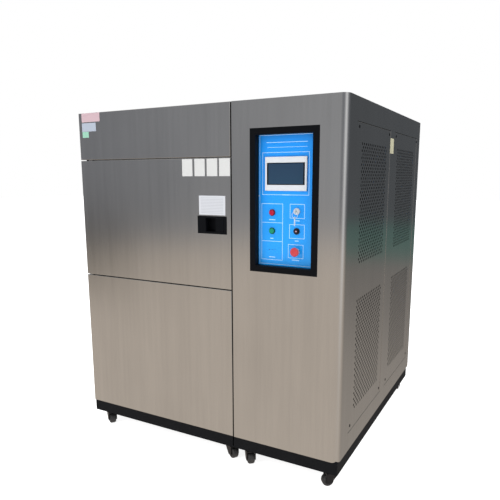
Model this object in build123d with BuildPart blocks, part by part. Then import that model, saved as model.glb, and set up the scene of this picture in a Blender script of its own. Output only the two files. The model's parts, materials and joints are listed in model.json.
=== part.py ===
from build123d import *
import os

# An environmental test chamber with three zones, in millimetres.
# X runs to the right, Y to the back and Z up. The floor under the wheels is Z = 0,
# and the origin is under the middle of the whole machine.

os.makedirs("parts", exist_ok=True)

# Body
body_width = 1480
body_depth = 1420
body_height = 1604
base_height = 58
caster_height = 75
left_width = 935  # left edge to the middle of the joint between the two cabinets
joint_gap = 6
corner_radius = 35
sheet = 2
fit = 0.3  # clearance between pieces that are fitted by hand
run = 0.05  # radial clearance of a shaft in its bore
flange = 30  # folded edges of the cabinet panels
edge_fold = 15  # folded edges of the removable side panels

# Base frame
rail_width = 60
rail_wall = 3
deck_sheet = 3
base_left_inset = 8
base_right_inset = 2
base_rear_inset = 35

# Casters, each with its place, and the heading of its wheel from the kingpin
wheel_radius = 28
wheel_width = 34
wheel_chamfer = 5
hub_width = 38
hub_radius = 13
axle_radius = 4
caster_trail = 24
caster_plate_size = 60
caster_plate_sheet = 3
race_radius = 20
race_height = 5
kingpin_radius = 5
kingpin_head = 1.5
fork_top = 6
fork_leg = 4
fork_leg_width = 24
caster_front_inset = 45
caster_rear_inset = 50
caster_places = {  # how far from the middle of its own base, and the heading
    "front_1": ("left", -390, -35),
    "front_2": ("left", 426, -30),
    "front_3": ("right", -204, -50),
    "front_4": ("right", 232, -140),
    "rear_1": ("left", -390, 15),
    "rear_2": ("left", 416, 160),
    "rear_3": ("right", -204, 100),
    "rear_4": ("right", 222, -80),
}

# Door and front panels
cold_panel_height = 741.5
door_height = 613
shadow_gap = 5
door_depth = 45
door_standoff = 10
plug_depth = 60
plug_clearance = 14
gasket_width = 18
gasket_from_opening = 20
gasket_chamfer = 3
gasket_squeeze = 0.4  # what the gasket leaves open at rest
pivot_radius = 6
pivot_from_side = 16
pivot_from_back = 12
pivot_reach = 20
pivot_block_width = 30
pivot_block_depth = 40
pivot_block_height = 15

# Latch, a flush cup with a paddle
latch_width = 162
latch_height = 84
latch_from_joint = 22
latch_from_door_bottom = 261.5
latch_lip = 2.5
cup_left_margin = 46.5
cup_right_margin = 15
cup_height = 65
cup_depth = 30
cup_wall = 2.5
paddle_width = 46
paddle_sheet = 4
paddle_pin_radius = 3
paddle_end_radius = 4.5
paddle_grip = 12
paddle_gap = 0.8
latch_chamfer = 1

# Test space and the zones above and below it
test_width = 500
test_height = 400
test_depth = 400
hot_zone_height = 150
cold_zone_height = 400
wall_board = 100
roof_board = 70
zone_board = 98
liner_flange_overlap = 18
duct_width = 80
duct_from_back = 40
duct_end = 10
shelf_height = 170
shelf_margin = 3
shelf_fold = 10
shelf_border = 20
shelf_slot = 12
shelf_slots = 18
shelf_ledge = 12

# Air circulation
fan_radius = 60
fan_hub_radius = 14
fan_shaft_radius = 8
fan_blade_height = 36
fan_blades = 9
fan_plate = 3
fan_from_back = 14
fan_motor_radius = 55
fan_motor_length = 130
shaft_in_motor = 30
shaft_hole_gap = 4
fan_eye = 22
damper_sheet = 4
damper_edge_gap = 2
damper_shaft_radius = 5
damper_shaft_in_board = 15
heater_rod_radius = 6
heater_rods = 5
heater_pitch = 24
heater_plate_width = 130
heater_plate_height = 70
coil_length = 440
coil_depth = 90
coil_height = 260
coil_fins = 10
coil_fin_sheet = 3
coil_tube_inset = 15
coil_tube_height = 10
coil_tube_rows = 4

# Refrigeration in the right cabinet
compressor_radius = 95
compressor_height = 290
compressor_from_joint = 205
compressor_pitch = 300
compressor_from_front = 480
compressor_foot = 200
compressor_foot_sheet = 4
compressor_shoulder = 18
condenser_length = 480
condenser_height = 520
condenser_depth = 90
condenser_from_rear = 130
condenser_from_side = 60

# Right side, seen from the outside
side_return = 130
front_opening_end = 690
rear_opening_start = 772
rear_opening_end = 1332
top_strip = 100
bottom_strip = 90
panel_gap = 1.5
field_width = 420
field_height = 540
field_from_top = 82
field_between = 163
slot_rows = 36
slot_height = 5

# Control panel in its black frame
frame_width = 328
frame_height = 635.5
frame_left_from_joint = 98.5
frame_from_top = 121
frame_band = 28.5
frame_lap = 7
frame_proud = 4
frame_wall = 3
frame_chamfer = 2
fascia_recess = 30
fascia_sheet = 3
fascia_lip = 8
control_bore_radius = 11.25

hmi_width = 200
hmi_height = 147
hmi_from_top = 197
hmi_bezel = 8
hmi_body_inset = 5
hmi_body_depth = 40
screen_width = 181
screen_height = 95.5
screen_sheet = 2
screen_recess = 1

lamps_from_middle = -66.5
lamp_heights = {"red_lamp": 268.5, "green_lamp": 186.5}  # above the bottom of the frame
buzzer_height = 100.5
buzzer_hole_radius = 2
buzzer_hole_pitch = 14
ring_radius = 14.5
ring_height = 4
lens_radius = 11.5
lens_height = 9
lens_chamfer = 3
body_radius = 11
body_length = 35

buttons_from_middle = 53.5
key_height = 276.5
button_height = 189.5
estop_height = 99.5
key_ring_height = 7
key_plug_radius = 8
key_plug_length = 28
key_sheet = 2.5
key_bow_radius = 9
key_neck = 6
key_neck_height = 4
key_hole_radius = 2.6
key_eye_inset = 5
ring_wire = 0.7
key_ring_radius = 13
spare_key_length = 34
spare_key_width = 8
button_cap_radius = 10
button_proud = 5
button_travel = 4
button_depth = 20
estop_collar_radius = 15
estop_collar_height = 12
estop_stem_radius = 7
estop_travel = 5
estop_head_radius = 20
estop_head_height = 14
estop_rim_chamfer = 4
estop_crown_chamfer = 2
estop_spigot_radius = 4.5
estop_spigot_length = 8

# Places worked out from the sizes above
left = -body_width / 2
right = body_width / 2
front = frame_proud - (body_depth + frame_proud) / 2
rear = front + body_depth
body_bottom = caster_height + base_height
top = body_bottom + body_height
left_end = left + left_width - joint_gap / 2
right_start = left_end + joint_gap
middle = left + left_width
door_bottom = body_bottom + cold_panel_height + shadow_gap
door_top = door_bottom + door_height
hot_panel_bottom = door_top + shadow_gap
carcass_front = front + door_depth + door_standoff
deck_top = body_bottom + deck_sheet
back_inside = rear - sheet - fit

test_x = (left + left_end) / 2
test_z = (door_bottom + door_top) / 2
test_left = test_x - test_width / 2
test_right = test_x + test_width / 2
test_bottom = test_z - test_height / 2
test_top = test_z + test_height / 2
test_back = carcass_front + plug_depth + test_depth
board_front = carcass_front + sheet + fit
board_back = test_back + sheet + fit
hot_floor = test_top + sheet + fit + zone_board
hot_roof = hot_floor + hot_zone_height
cold_roof = test_bottom - sheet - fit - zone_board
cold_floor = cold_roof - cold_zone_height
duct_back = test_back - duct_from_back
duct_front = duct_back - duct_width


def keep(piece, name):
    """Name a finished piece and write it."""
    piece.part.label = name
    export_step(piece.part, f"parts/{name}.step")


def block(low, high, mode=Mode.ADD):
    """A block between two opposite corners."""
    middle = [(a + b) / 2 for a, b in zip(low, high)]
    with Locations(tuple(middle)):
        Box(*[b - a for a, b in zip(low, high)], mode=mode)


def round_bar(start, direction, length, radius, mode=Mode.ADD):
    """A round bar that runs from a point along a direction."""
    with Locations(Plane(origin=start, z_dir=direction)):
        Cylinder(radius, length, align=(Align.CENTER, Align.CENTER, Align.MIN), mode=mode)


def turned(start, direction, outline):
    """A turned piece: (radius, height) points from its axis outwards, revolved."""
    lathe = Plane(origin=start, x_dir=(1, 0, 0), z_dir=direction)
    upright = Plane(origin=start, x_dir=lathe.x_dir, z_dir=-lathe.y_dir)
    with BuildSketch(upright) as profile:
        with BuildLine():
            Polyline(*outline, close=True)
        make_face()
    revolve(profile.sketch, axis=Axis(start, direction))


def pan(low, high, wall):
    """A folded pan that is open at the back."""
    block(low, high)
    block(
        (low[0] + wall, low[1] + wall, low[2] + wall),
        (high[0] - wall, high[1], high[2] - wall),
        mode=Mode.SUBTRACT,
    )


# Base: two welded frames of rectangular tube, one under each cabinet, with their decks
base_front = front
base_back = rear - base_rear_inset
left_base = (left + base_left_inset, left_end)
right_base = (right_start, right - base_right_inset)
left_middle_rail = (left_base[0] + left_base[1] - rail_width) / 2

with BuildPart() as base_rails:
    for x0, x1, capped_start, capped_end in ((*left_base, 1, 0), (*right_base, 0, 1)):
        for y0 in (base_front, base_back - rail_width):
            y1 = y0 + rail_width
            block((x0, y0, caster_height), (x1, y1, body_bottom))
            block(
                (x0 + capped_start * rail_wall, y0 + rail_wall, caster_height + rail_wall),
                (x1 - capped_end * rail_wall, y1 - rail_wall, body_bottom - rail_wall),
                mode=Mode.SUBTRACT,
            )
    cross_start = base_front + rail_width + fit
    cross_end = base_back - rail_width - fit
    for x0 in (
        left_base[0],
        left_middle_rail,
        left_base[1] - rail_width,
        right_base[0],
        right_base[1] - rail_width,
    ):
        x1 = x0 + rail_width
        block((x0, cross_start, caster_height), (x1, cross_end, body_bottom))
        block(
            (x0 + rail_wall, cross_start, caster_height + rail_wall),
            (x1 - rail_wall, cross_end, body_bottom - rail_wall),
            mode=Mode.SUBTRACT,
        )
keep(base_rails, "base_rails")

with BuildPart() as base_decks:
    for x0, x1 in ((left + sheet + fit, left_end - sheet), (right_start + sheet, right - sheet - fit)):
        block((x0, carcass_front + sheet + fit, body_bottom), (x1, back_inside - sheet - fit, deck_top))
keep(base_decks, "base_decks")


# Casters: a fixed plate with its race and kingpin, a swivelling fork and a wheel
fork_plane_z = caster_height - caster_plate_sheet - race_height - fit - fork_top


def caster_plane(place):
    """The swivel axis of a caster at floor level, with X along the wheel's heading."""
    side, from_middle, heading = caster_places[place]
    x = sum(left_base if side == "left" else right_base) / 2 + from_middle
    in_front = place.startswith("front")
    y = base_front + caster_front_inset if in_front else base_back - caster_rear_inset
    return Plane(origin=(x, y, 0), z_dir=(0, 0, 1)).rotated((0, 0, heading))


def caster_fork(plane):
    """The fork: a top plate, two legs and the axle bolt, fused as one welded piece."""
    inside = hub_width / 2 + 2 * fit
    outside = inside + fork_leg
    fork_end = caster_trail + fork_leg_width / 2
    top_start = -race_radius
    with BuildPart() as fork:
        with BuildSketch(plane.offset(fork_plane_z)):
            with Locations(((top_start + fork_end) / 2, 0)):
                Rectangle(fork_end - top_start, 2 * outside)
            Circle(kingpin_radius + run, mode=Mode.SUBTRACT)
        extrude(amount=fork_top)
        side = Plane(origin=plane.from_local_coords((0, 0, 0)), x_dir=plane.x_dir, z_dir=-plane.y_dir)
        for leg_start in (inside, -outside):
            with BuildSketch(side.offset(leg_start)):
                with BuildLine():
                    Polyline(
                        (top_start, fork_plane_z),
                        (caster_trail - fork_leg_width / 2, wheel_radius - fork_leg_width / 3),
                        (caster_trail + fork_leg_width / 2, wheel_radius - fork_leg_width / 3),
                        (fork_end, fork_plane_z),
                        close=True,
                    )
                make_face()
            extrude(amount=fork_leg)
        with BuildSketch(side.offset(-outside)):
            with Locations((caster_trail, wheel_radius)):
                Circle(axle_radius)
        extrude(amount=2 * outside)
    return fork


def caster_wheel(plane):
    """The wheel: a tread with rounded shoulders on a wider hub, bored for the axle."""
    half_tread = wheel_width / 2
    half_hub = hub_width / 2
    axle = Plane(
        origin=plane.from_local_coords((caster_trail, 0, wheel_radius)),
        x_dir=plane.x_dir,
        z_dir=-plane.y_dir,
    )
    with BuildPart() as wheel:
        with BuildSketch(axle.offset(-half_tread)):
            Circle(wheel_radius)
        extrude(amount=wheel_width)
        chamfer(wheel.edges().filter_by(GeomType.CIRCLE), wheel_chamfer)
        with BuildSketch(axle.offset(-half_hub)):
            Circle(hub_radius)
        extrude(amount=hub_width)
        with BuildSketch(axle.offset(-half_hub)):
            Circle(axle_radius + run)
        extrude(amount=hub_width, mode=Mode.SUBTRACT)
    return wheel


with BuildPart() as caster_plates:
    for place in caster_places:
        plane = caster_plane(place)
        plate_bottom = caster_height - caster_plate_sheet
        with BuildSketch(Plane(origin=plane.origin).offset(plate_bottom)):
            Rectangle(caster_plate_size, caster_plate_size)
        extrude(amount=caster_plate_sheet)
        with BuildSketch(plane.offset(plate_bottom - race_height)):
            Circle(race_radius)
        extrude(amount=race_height)
        with BuildSketch(plane.offset(fork_plane_z - fit - kingpin_head)):
            Circle(kingpin_radius)
        extrude(amount=plate_bottom - fork_plane_z + fit + kingpin_head)
        with BuildSketch(plane.offset(fork_plane_z - fit - kingpin_head)):
            Circle(kingpin_radius + kingpin_head)
        extrude(amount=kingpin_head)
keep(caster_plates, "caster_plates")

for place in caster_places:
    swivel = caster_plane(place)
    keep(caster_fork(swivel), f"caster_fork_{place}")
    keep(caster_wheel(swivel), f"caster_wheel_{place}")


# Cabinet panels
with BuildPart() as left_side_panel:
    block((left, carcass_front, body_bottom), (left + sheet, back_inside, top))
    block((left, carcass_front, body_bottom), (left + flange, carcass_front + sheet, top))
    block((left, back_inside - sheet, body_bottom), (left + flange, back_inside, top))
keep(left_side_panel, "left_side_panel")

under_cover = top - sheet - fit

with BuildPart() as partition_wall:
    web_left, web_right = middle - sheet / 2, middle + sheet / 2
    block((web_left, carcass_front, body_bottom), (web_right, back_inside, under_cover))
    for y0 in (carcass_front, back_inside - sheet):
        block((middle - flange, y0, body_bottom), (middle + flange, y0 + sheet, under_cover))
keep(partition_wall, "partition_wall")

with BuildPart() as top_covers:
    cover_back = back_inside - sheet - fit
    left_cover_front, right_cover_front = carcass_front + sheet + fit, front + sheet + fit
    block((left + sheet + fit, left_cover_front, top - sheet), (left_end, cover_back, top))
    cover_left, cover_right = right_start + sheet + fit, right - sheet - fit
    with BuildSketch(Plane.XY.offset(top - sheet)):
        with Locations(((cover_left + cover_right) / 2, (right_cover_front + cover_back) / 2)):
            cover = Rectangle(cover_right - cover_left, cover_back - right_cover_front)
        corner = cover.vertices().group_by(Axis.Y)[0].sort_by(Axis.X)[-1]
        fillet(corner, corner_radius - sheet - fit)
    extrude(amount=sheet)
    block((right_start, left_cover_front, top - sheet), (cover_left, cover_back, top))
keep(top_covers, "top_covers")

with BuildPart() as rear_panels:
    for x0, x1 in ((left, left_end), (right_start, right)):
        block((x0, rear - sheet, body_bottom), (x1, rear, top))
keep(rear_panels, "rear_panels")

pivot_x = left + pivot_from_side
pivot_y = front + door_depth - pivot_from_back
panel_back = carcass_front - fit

with BuildPart() as top_front_panel:
    pan((left, front, hot_panel_bottom), (left_end, panel_back, top), sheet)
    round_bar((pivot_x, pivot_y, hot_panel_bottom), (0, 0, 1), sheet, pivot_radius + fit, Mode.SUBTRACT)
keep(top_front_panel, "top_front_panel")

with BuildPart() as lower_front_panel:
    cold_panel_top = body_bottom + cold_panel_height
    pan((left, front, body_bottom), (left_end, panel_back, cold_panel_top), sheet)
    round_bar((pivot_x, pivot_y, cold_panel_top), (0, 0, -1), sheet, pivot_radius + fit, Mode.SUBTRACT)
keep(lower_front_panel, "lower_front_panel")

frame_left = middle + frame_left_from_joint
frame_right = frame_left + frame_width
frame_top = top - frame_from_top
frame_bottom = frame_top - frame_height


def frame_block(inset, y_low, y_high, mode=Mode.ADD):
    """A block as wide and high as the control frame, less an inset all round."""
    block(
        (frame_left + inset, y_low, frame_bottom + inset),
        (frame_right - inset, y_high, frame_top - inset),
        mode=mode,
    )


with BuildPart() as control_cover:
    return_end = front + side_return - fit
    with BuildSketch(Plane.XY.offset(body_bottom)):
        with Locations(((right_start + right) / 2, (front + return_end) / 2)):
            outer = Rectangle(right - right_start, return_end - front)
        fillet(outer.vertices().group_by(Axis.Y)[0].sort_by(Axis.X)[-1], corner_radius)
        with BuildSketch(mode=Mode.PRIVATE) as hollow:
            with Locations(((right_start + right) / 2, (front + return_end) / 2)):
                inner = Rectangle(right - right_start - 2 * sheet, return_end - front - 2 * sheet)
            fillet(inner.vertices().group_by(Axis.Y)[0].sort_by(Axis.X)[-1], corner_radius - sheet)
        add(hollow.sketch, mode=Mode.SUBTRACT)
        with Locations((right_start, return_end)):
            Rectangle(
                right - right_start - flange,
                return_end - panel_back,
                align=(Align.MIN, Align.MAX),
                mode=Mode.SUBTRACT,
            )
    extrude(amount=body_height)
    frame_block(frame_lap - fit, front, front + sheet, Mode.SUBTRACT)
    fold_front = return_end - sheet - fit
    for z0, z1 in ((body_bottom, deck_top + fit), (under_cover, top)):
        block((right - flange, fold_front, z0), (right - sheet, return_end, z1), Mode.SUBTRACT)
keep(control_cover, "control_cover")

opening_bottom = body_bottom + bottom_strip
opening_top = top - top_strip

with BuildPart() as side_framing:
    strip_front = front + side_return
    for z0, z1, fold in (
        (body_bottom, opening_bottom, opening_bottom - sheet),
        (opening_top, top, opening_top),
    ):
        block((right - sheet, strip_front, z0), (right, back_inside, z1))
        block((right - flange, strip_front, fold), (right, back_inside, fold + sheet))
    for y0, y1 in (
        (front + front_opening_end, front + rear_opening_start),
        (front + rear_opening_end, back_inside),
    ):
        post_bottom, post_top = opening_bottom + fit, opening_top - fit
        block((right - sheet, y0, post_bottom), (right, y1, post_top))
        for y_fold in (y0, y1 - sheet):
            block((right - flange, y_fold, post_bottom), (right, y_fold + sheet, post_top))
keep(side_framing, "side_framing")


def side_panel(y0, y1):
    """A removable side panel: a shallow pan with two fields of slots in rows."""
    low = (right - edge_fold, y0 + panel_gap, opening_bottom + fit)
    high = (right, y1 - panel_gap, opening_top - panel_gap)
    row_pitch = field_height / slot_rows
    upper_field = opening_top - field_from_top - field_height / 2
    with BuildPart() as panel:
        block(low, high)
        block(
            (low[0], low[1] + sheet, low[2] + sheet),
            (high[0] - sheet, high[1] - sheet, high[2] - sheet),
            mode=Mode.SUBTRACT,
        )
        with BuildSketch(Plane.YZ.offset(right - sheet)):
            for field_z in (upper_field, upper_field - field_height - field_between):
                with Locations(((y0 + y1) / 2, field_z)):
                    with GridLocations(1, row_pitch, 1, slot_rows):
                        Rectangle(field_width, slot_height)
        extrude(amount=sheet, mode=Mode.SUBTRACT)
    return panel


keep(side_panel(front + side_return, front + front_opening_end), "front_side_panel")
keep(side_panel(front + rear_opening_start, front + rear_opening_end), "rear_side_panel")


# Door: a steel shell, its insulation and a stepped inner liner on two pivot pins
plug_left, plug_right = test_left + plug_clearance, test_right - plug_clearance
plug_bottom, plug_top = test_bottom + plug_clearance, test_top - plug_clearance
door_back = front + door_depth
latch_right = left_end - latch_from_joint
latch_left = latch_right - latch_width
latch_bottom = door_bottom + latch_from_door_bottom
latch_top = latch_bottom + latch_height
cup_left, cup_right = latch_left + cup_left_margin, latch_right - cup_right_margin
cup_bottom = (latch_bottom + latch_top - cup_height) / 2
cup_top = cup_bottom + cup_height


def cup_block(grow, y_low, y_high, mode=Mode.ADD):
    """A block as wide and high as the latch cup, grown all round."""
    block((cup_left - grow, y_low, cup_bottom - grow), (cup_right + grow, y_high, cup_top + grow), mode)


with BuildPart() as door_shell:
    pan((left, front, door_bottom), (left_end, door_back, door_top), sheet)
    for z0 in (door_bottom, door_top - sheet):
        round_bar((pivot_x, pivot_y, z0), (0, 0, 1), sheet, pivot_radius + run, Mode.SUBTRACT)
    cup_block(cup_wall + fit, front, front + sheet, Mode.SUBTRACT)
keep(door_shell, "door_shell")

with BuildPart() as door_liner:
    rim = sheet + fit
    block((left + rim, door_back - sheet, door_bottom + rim), (left_end - rim, door_back, door_top - rim))
    block((plug_left, door_back - sheet, plug_bottom), (plug_right, carcass_front + plug_depth, plug_top))
    block(
        (plug_left + sheet, door_back - sheet, plug_bottom + sheet),
        (plug_right - sheet, carcass_front + plug_depth - sheet, plug_top - sheet),
        mode=Mode.SUBTRACT,
    )
keep(door_liner, "door_liner")

with BuildPart() as door_insulation:
    foam_front = front + rim
    block((left + rim, foam_front, door_bottom + rim), (left_end - rim, door_back - rim, door_top - rim))
    block(
        (plug_left + rim, foam_front, plug_bottom + rim),
        (plug_right - rim, carcass_front + plug_depth - rim, plug_top - rim),
    )
    cup_block(cup_wall + fit, foam_front, front + cup_depth + cup_wall + fit, Mode.SUBTRACT)
    for z0, up in ((door_bottom + rim, 1), (door_top - rim, -1)):
        round_bar((pivot_x, pivot_y, z0), (0, 0, up), pivot_reach, pivot_radius + sheet, Mode.SUBTRACT)
keep(door_insulation, "door_insulation")

with BuildPart() as door_gasket:
    gasket_inner = gasket_from_opening
    gasket_outer = gasket_from_opening + gasket_width
    with BuildSketch(Plane.XZ.offset(-door_back)) as seal:
        with Locations((test_x, test_z)):
            Rectangle(test_width + 2 * gasket_outer, test_height + 2 * gasket_outer)
            Rectangle(test_width + 2 * gasket_inner, test_height + 2 * gasket_inner, mode=Mode.SUBTRACT)
    extrude(amount=gasket_squeeze - door_standoff)
    lip_edges = door_gasket.faces().sort_by(Axis.Y)[-1].edges()
    chamfer(lip_edges, gasket_chamfer)
keep(door_gasket, "door_gasket")

with BuildPart() as door_pivots:
    block_left = left + sheet + fit
    for panel_edge, door_edge, up in (
        (hot_panel_bottom + sheet, door_top, 1),
        (cold_panel_top - sheet, door_bottom, -1),
    ):
        z_low, z_high = sorted((panel_edge, panel_edge + up * pivot_block_height))
        block(
            (block_left, panel_back - pivot_block_depth, z_low),
            (block_left + pivot_block_width, panel_back, z_high),
        )
        pin_length = abs(panel_edge - door_edge) + pivot_reach
        round_bar((pivot_x, pivot_y, panel_edge), (0, 0, -up), pin_length, pivot_radius)
keep(door_pivots, "door_pivots")

paddle_front = front - latch_lip + paddle_gap
paddle_pivot_x = cup_right - paddle_end_radius - paddle_gap
paddle_pivot_y = paddle_front + paddle_end_radius

with BuildPart() as latch_housing:
    block((latch_left, front - latch_lip, latch_bottom), (latch_right, front, latch_top))
    lip_rim = latch_housing.faces().sort_by(Axis.Y)[0].edges()
    chamfer(lip_rim, latch_chamfer)
    cup_block(cup_wall, front, front + cup_depth + cup_wall)
    cup_block(0, front - latch_lip, front + cup_depth, Mode.SUBTRACT)
    pin_bore = paddle_pin_radius + run
    pin_start = (paddle_pivot_x, paddle_pivot_y, cup_bottom - cup_wall)
    round_bar(pin_start, (0, 0, 1), cup_height + 2 * cup_wall, pin_bore, Mode.SUBTRACT)
keep(latch_housing, "latch_housing")

with BuildPart() as latch_paddle:
    paddle_left = cup_right - paddle_width
    paddle_bottom, paddle_top = cup_bottom + paddle_gap, cup_top - paddle_gap
    block(
        (paddle_left, paddle_front, paddle_bottom),
        (paddle_pivot_x, paddle_front + paddle_sheet, paddle_top),
    )
    block(
        (paddle_left, paddle_front, paddle_bottom),
        (paddle_left + paddle_sheet, paddle_front + paddle_grip, paddle_top),
    )
    knuckle = (paddle_pivot_x, paddle_pivot_y, paddle_bottom)
    round_bar(knuckle, (0, 0, 1), paddle_top - paddle_bottom, paddle_end_radius)
    round_bar(pin_start, (0, 0, 1), cup_height + 2 * cup_wall, paddle_pin_radius)
keep(latch_paddle, "latch_paddle")


# Insulated zones: foam boards round a steel test liner
board_left, board_right = test_left - sheet, test_right + sheet
board_top = hot_roof + roof_board
damper_y = (duct_front + duct_back) / 2
hot_damper_z = hot_floor - zone_board / 2
cold_damper_z = cold_roof + zone_board / 2
hot_fan_z = hot_floor + hot_zone_height / 2
cold_fan_z = cold_floor + cold_zone_height / 2

with BuildPart() as insulation_boards:
    for x0, x1 in (
        (board_left - fit - wall_board, board_left - fit),
        (board_right + fit, board_right + fit + wall_board),
    ):
        block((x0, board_front, deck_top), (x1, board_back + wall_board, board_top))
    for z in (hot_damper_z, cold_damper_z):
        for x, inward in ((board_left - fit, -1), (board_right + fit, 1)):
            bore_depth = damper_shaft_in_board + fit
            bore = damper_shaft_radius + run
            round_bar((x, damper_y, z), (inward, 0, 0), bore_depth, bore, Mode.SUBTRACT)
    block((board_left, board_back, deck_top), (board_right, board_back + wall_board, board_top))
    for z in (hot_fan_z, cold_fan_z):
        bore = fan_shaft_radius + shaft_hole_gap
        round_bar((test_x, board_back, z), (0, 1, 0), wall_board, bore, Mode.SUBTRACT)
    inside_back = board_back - fit
    for y0, y1, z0, z1 in (
        (board_front, inside_back, hot_roof, board_top),
        (board_front, duct_front, hot_floor - zone_board, hot_floor),
        (duct_back, inside_back, hot_floor - zone_board, hot_floor),
        (board_front, duct_front, cold_roof, cold_roof + zone_board),
        (duct_back, inside_back, cold_roof, cold_roof + zone_board),
        (board_front, inside_back, cold_floor - wall_board, cold_floor),
        (board_front, board_front + wall_board, hot_floor + fit, hot_roof - fit),
        (board_front, board_front + wall_board, cold_floor + fit, cold_roof - fit),
    ):
        block((board_left, y0, z0), (board_right, y1, z1))
keep(insulation_boards, "insulation_boards")

ledge_top = test_bottom + shelf_height

with BuildPart() as test_liner:
    block((board_left, carcass_front, test_bottom - sheet), (board_right, test_back + sheet, test_top + sheet))
    block(
        (left + flange + fit, carcass_front, door_bottom - shadow_gap - liner_flange_overlap),
        (middle - flange - fit, carcass_front + sheet, door_top + shadow_gap + liner_flange_overlap),
    )
    block((test_left, carcass_front, test_bottom), (test_right, test_back, test_top), Mode.SUBTRACT)
    block(
        (test_left + duct_end, duct_front, test_bottom - sheet),
        (test_right - duct_end, duct_back, test_top + sheet),
        Mode.SUBTRACT,
    )
    for x0 in (test_left, test_right - shelf_ledge):
        block(
            (x0, carcass_front + plug_depth + shelf_ledge, ledge_top - sheet),
            (x0 + shelf_ledge, test_back, ledge_top),
        )
keep(test_liner, "test_liner")

with BuildPart() as test_shelf:
    shelf_front = carcass_front + plug_depth + 2 * shelf_ledge
    shelf_back = test_back - shelf_ledge
    shelf_left, shelf_right = test_left + shelf_margin, test_right - shelf_margin
    shelf_top = ledge_top + shelf_fold
    block((shelf_left, shelf_front, ledge_top), (shelf_right, shelf_back, shelf_top))
    block(
        (shelf_left + sheet, shelf_front + sheet, ledge_top),
        (shelf_right - sheet, shelf_back - sheet, shelf_top - sheet),
        mode=Mode.SUBTRACT,
    )
    slotted_length = shelf_right - shelf_left - 2 * shelf_border
    with BuildSketch(Plane.XY.offset(shelf_top - sheet)):
        with Locations((test_x, (shelf_front + shelf_back) / 2)):
            with GridLocations(slotted_length / shelf_slots, 1, shelf_slots, 1):
                Rectangle(shelf_slot, shelf_back - shelf_front - 2 * shelf_border)
    extrude(amount=sheet, mode=Mode.SUBTRACT)
keep(test_shelf, "test_shelf")


# Air circulation
def damper(z):
    """A butterfly flap on a shaft that crosses the duct."""
    half_span = test_width / 2 + sheet - damper_edge_gap
    half_chord = duct_width / 2 - damper_edge_gap
    with BuildPart() as flap:
        block(
            (test_x - half_span, damper_y - half_chord, z - damper_sheet / 2),
            (test_x + half_span, damper_y + half_chord, z + damper_sheet / 2),
        )
        shaft_start = board_left - fit - damper_shaft_in_board
        shaft_length = 2 * (test_x - shaft_start)
        round_bar((shaft_start, damper_y, z), (1, 0, 0), shaft_length, damper_shaft_radius)
    return flap


keep(damper(hot_damper_z), "hot_damper")
keep(damper(cold_damper_z), "cold_damper")

fan_back = board_back - fit - fan_from_back
motor_front = board_back + wall_board


def fan_wheel(z):
    """A radial fan wheel with its shaft: a back plate, a hub and straight blades."""
    with BuildPart() as wheel:
        round_bar((test_x, fan_back, z), (0, -1, 0), fan_plate, fan_radius)
        round_bar((test_x, fan_back, z), (0, -1, 0), fan_blade_height, fan_hub_radius)
        shaft_length = motor_front + shaft_in_motor - fan_back
        round_bar((test_x, fan_back, z), (0, 1, 0), shaft_length, fan_shaft_radius)
        face = Plane(origin=(test_x, fan_back, z), x_dir=(1, 0, 0), z_dir=(0, -1, 0))
        blade_start, blade_end = fan_hub_radius / 2, fan_radius - fan_plate
        with BuildSketch(face):
            with PolarLocations((blade_start + blade_end) / 2, fan_blades):
                Rectangle(blade_end - blade_start, fan_plate)
        extrude(amount=fan_blade_height)
        with BuildSketch(face.offset(fan_blade_height)):
            Circle(fan_radius)
            Circle(fan_radius - fan_eye, mode=Mode.SUBTRACT)
        extrude(amount=fan_plate)
    return wheel


keep(fan_wheel(hot_fan_z), "hot_fan")
keep(fan_wheel(cold_fan_z), "cold_fan")

with BuildPart() as fan_motors:
    for z in (hot_fan_z, cold_fan_z):
        start = (test_x, motor_front, z)
        round_bar(start, (0, 1, 0), fan_motor_length, fan_motor_radius)
        bore_depth = shaft_in_motor + fit
        round_bar(start, (0, 1, 0), bore_depth, fan_shaft_radius + run, Mode.SUBTRACT)
keep(fan_motors, "fan_motors")

with BuildPart() as heater:
    heater_y = board_front + wall_board + heater_plate_width
    for x0 in (test_left, test_right - fan_plate):
        block(
            (x0, heater_y - heater_plate_width / 2, hot_floor),
            (x0 + fan_plate, heater_y + heater_plate_width / 2, hot_floor + heater_plate_height),
        )
    rod_start = (test_left, heater_y, hot_floor + heater_plate_height / 2)
    with Locations(Plane(origin=rod_start, x_dir=(0, 1, 0), z_dir=(1, 0, 0))):
        with GridLocations(heater_pitch, 1, heater_rods, 1):
            Cylinder(heater_rod_radius, test_width, align=(Align.CENTER, Align.CENTER, Align.MIN))
keep(heater, "heater")


def finned_coil(start, across, length, depth, height):
    """Upright fins in a row along a direction, joined by rows of flat tubes."""
    row = Plane(origin=start, x_dir=(-across[1], across[0], 0), z_dir=across)
    fin_pitch = (length - coil_fin_sheet) / (coil_fins - 1)
    tube_pitch = height / coil_tube_rows
    with BuildPart() as coil:
        for i in range(coil_fins):
            with BuildSketch(row.offset(i * fin_pitch)):
                Rectangle(depth, height)
            extrude(amount=coil_fin_sheet)
        with BuildSketch(row):
            with GridLocations(1, tube_pitch, 1, coil_tube_rows):
                Rectangle(depth - 2 * coil_tube_inset, coil_tube_height)
        extrude(amount=length)
    return coil


coil_y = board_front + wall_board + coil_depth
coil_start = (test_x - coil_length / 2, coil_y, cold_floor + coil_height / 2)
keep(finned_coil(coil_start, (1, 0, 0), coil_length, coil_depth, coil_height), "evaporator")

condenser_start = (
    right - condenser_from_side - condenser_depth / 2,
    rear - condenser_from_rear - condenser_length,
    deck_top + condenser_height / 2,
)
condenser = finned_coil(condenser_start, (0, 1, 0), condenser_length, condenser_depth, condenser_height)
keep(condenser, "condenser")

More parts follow.
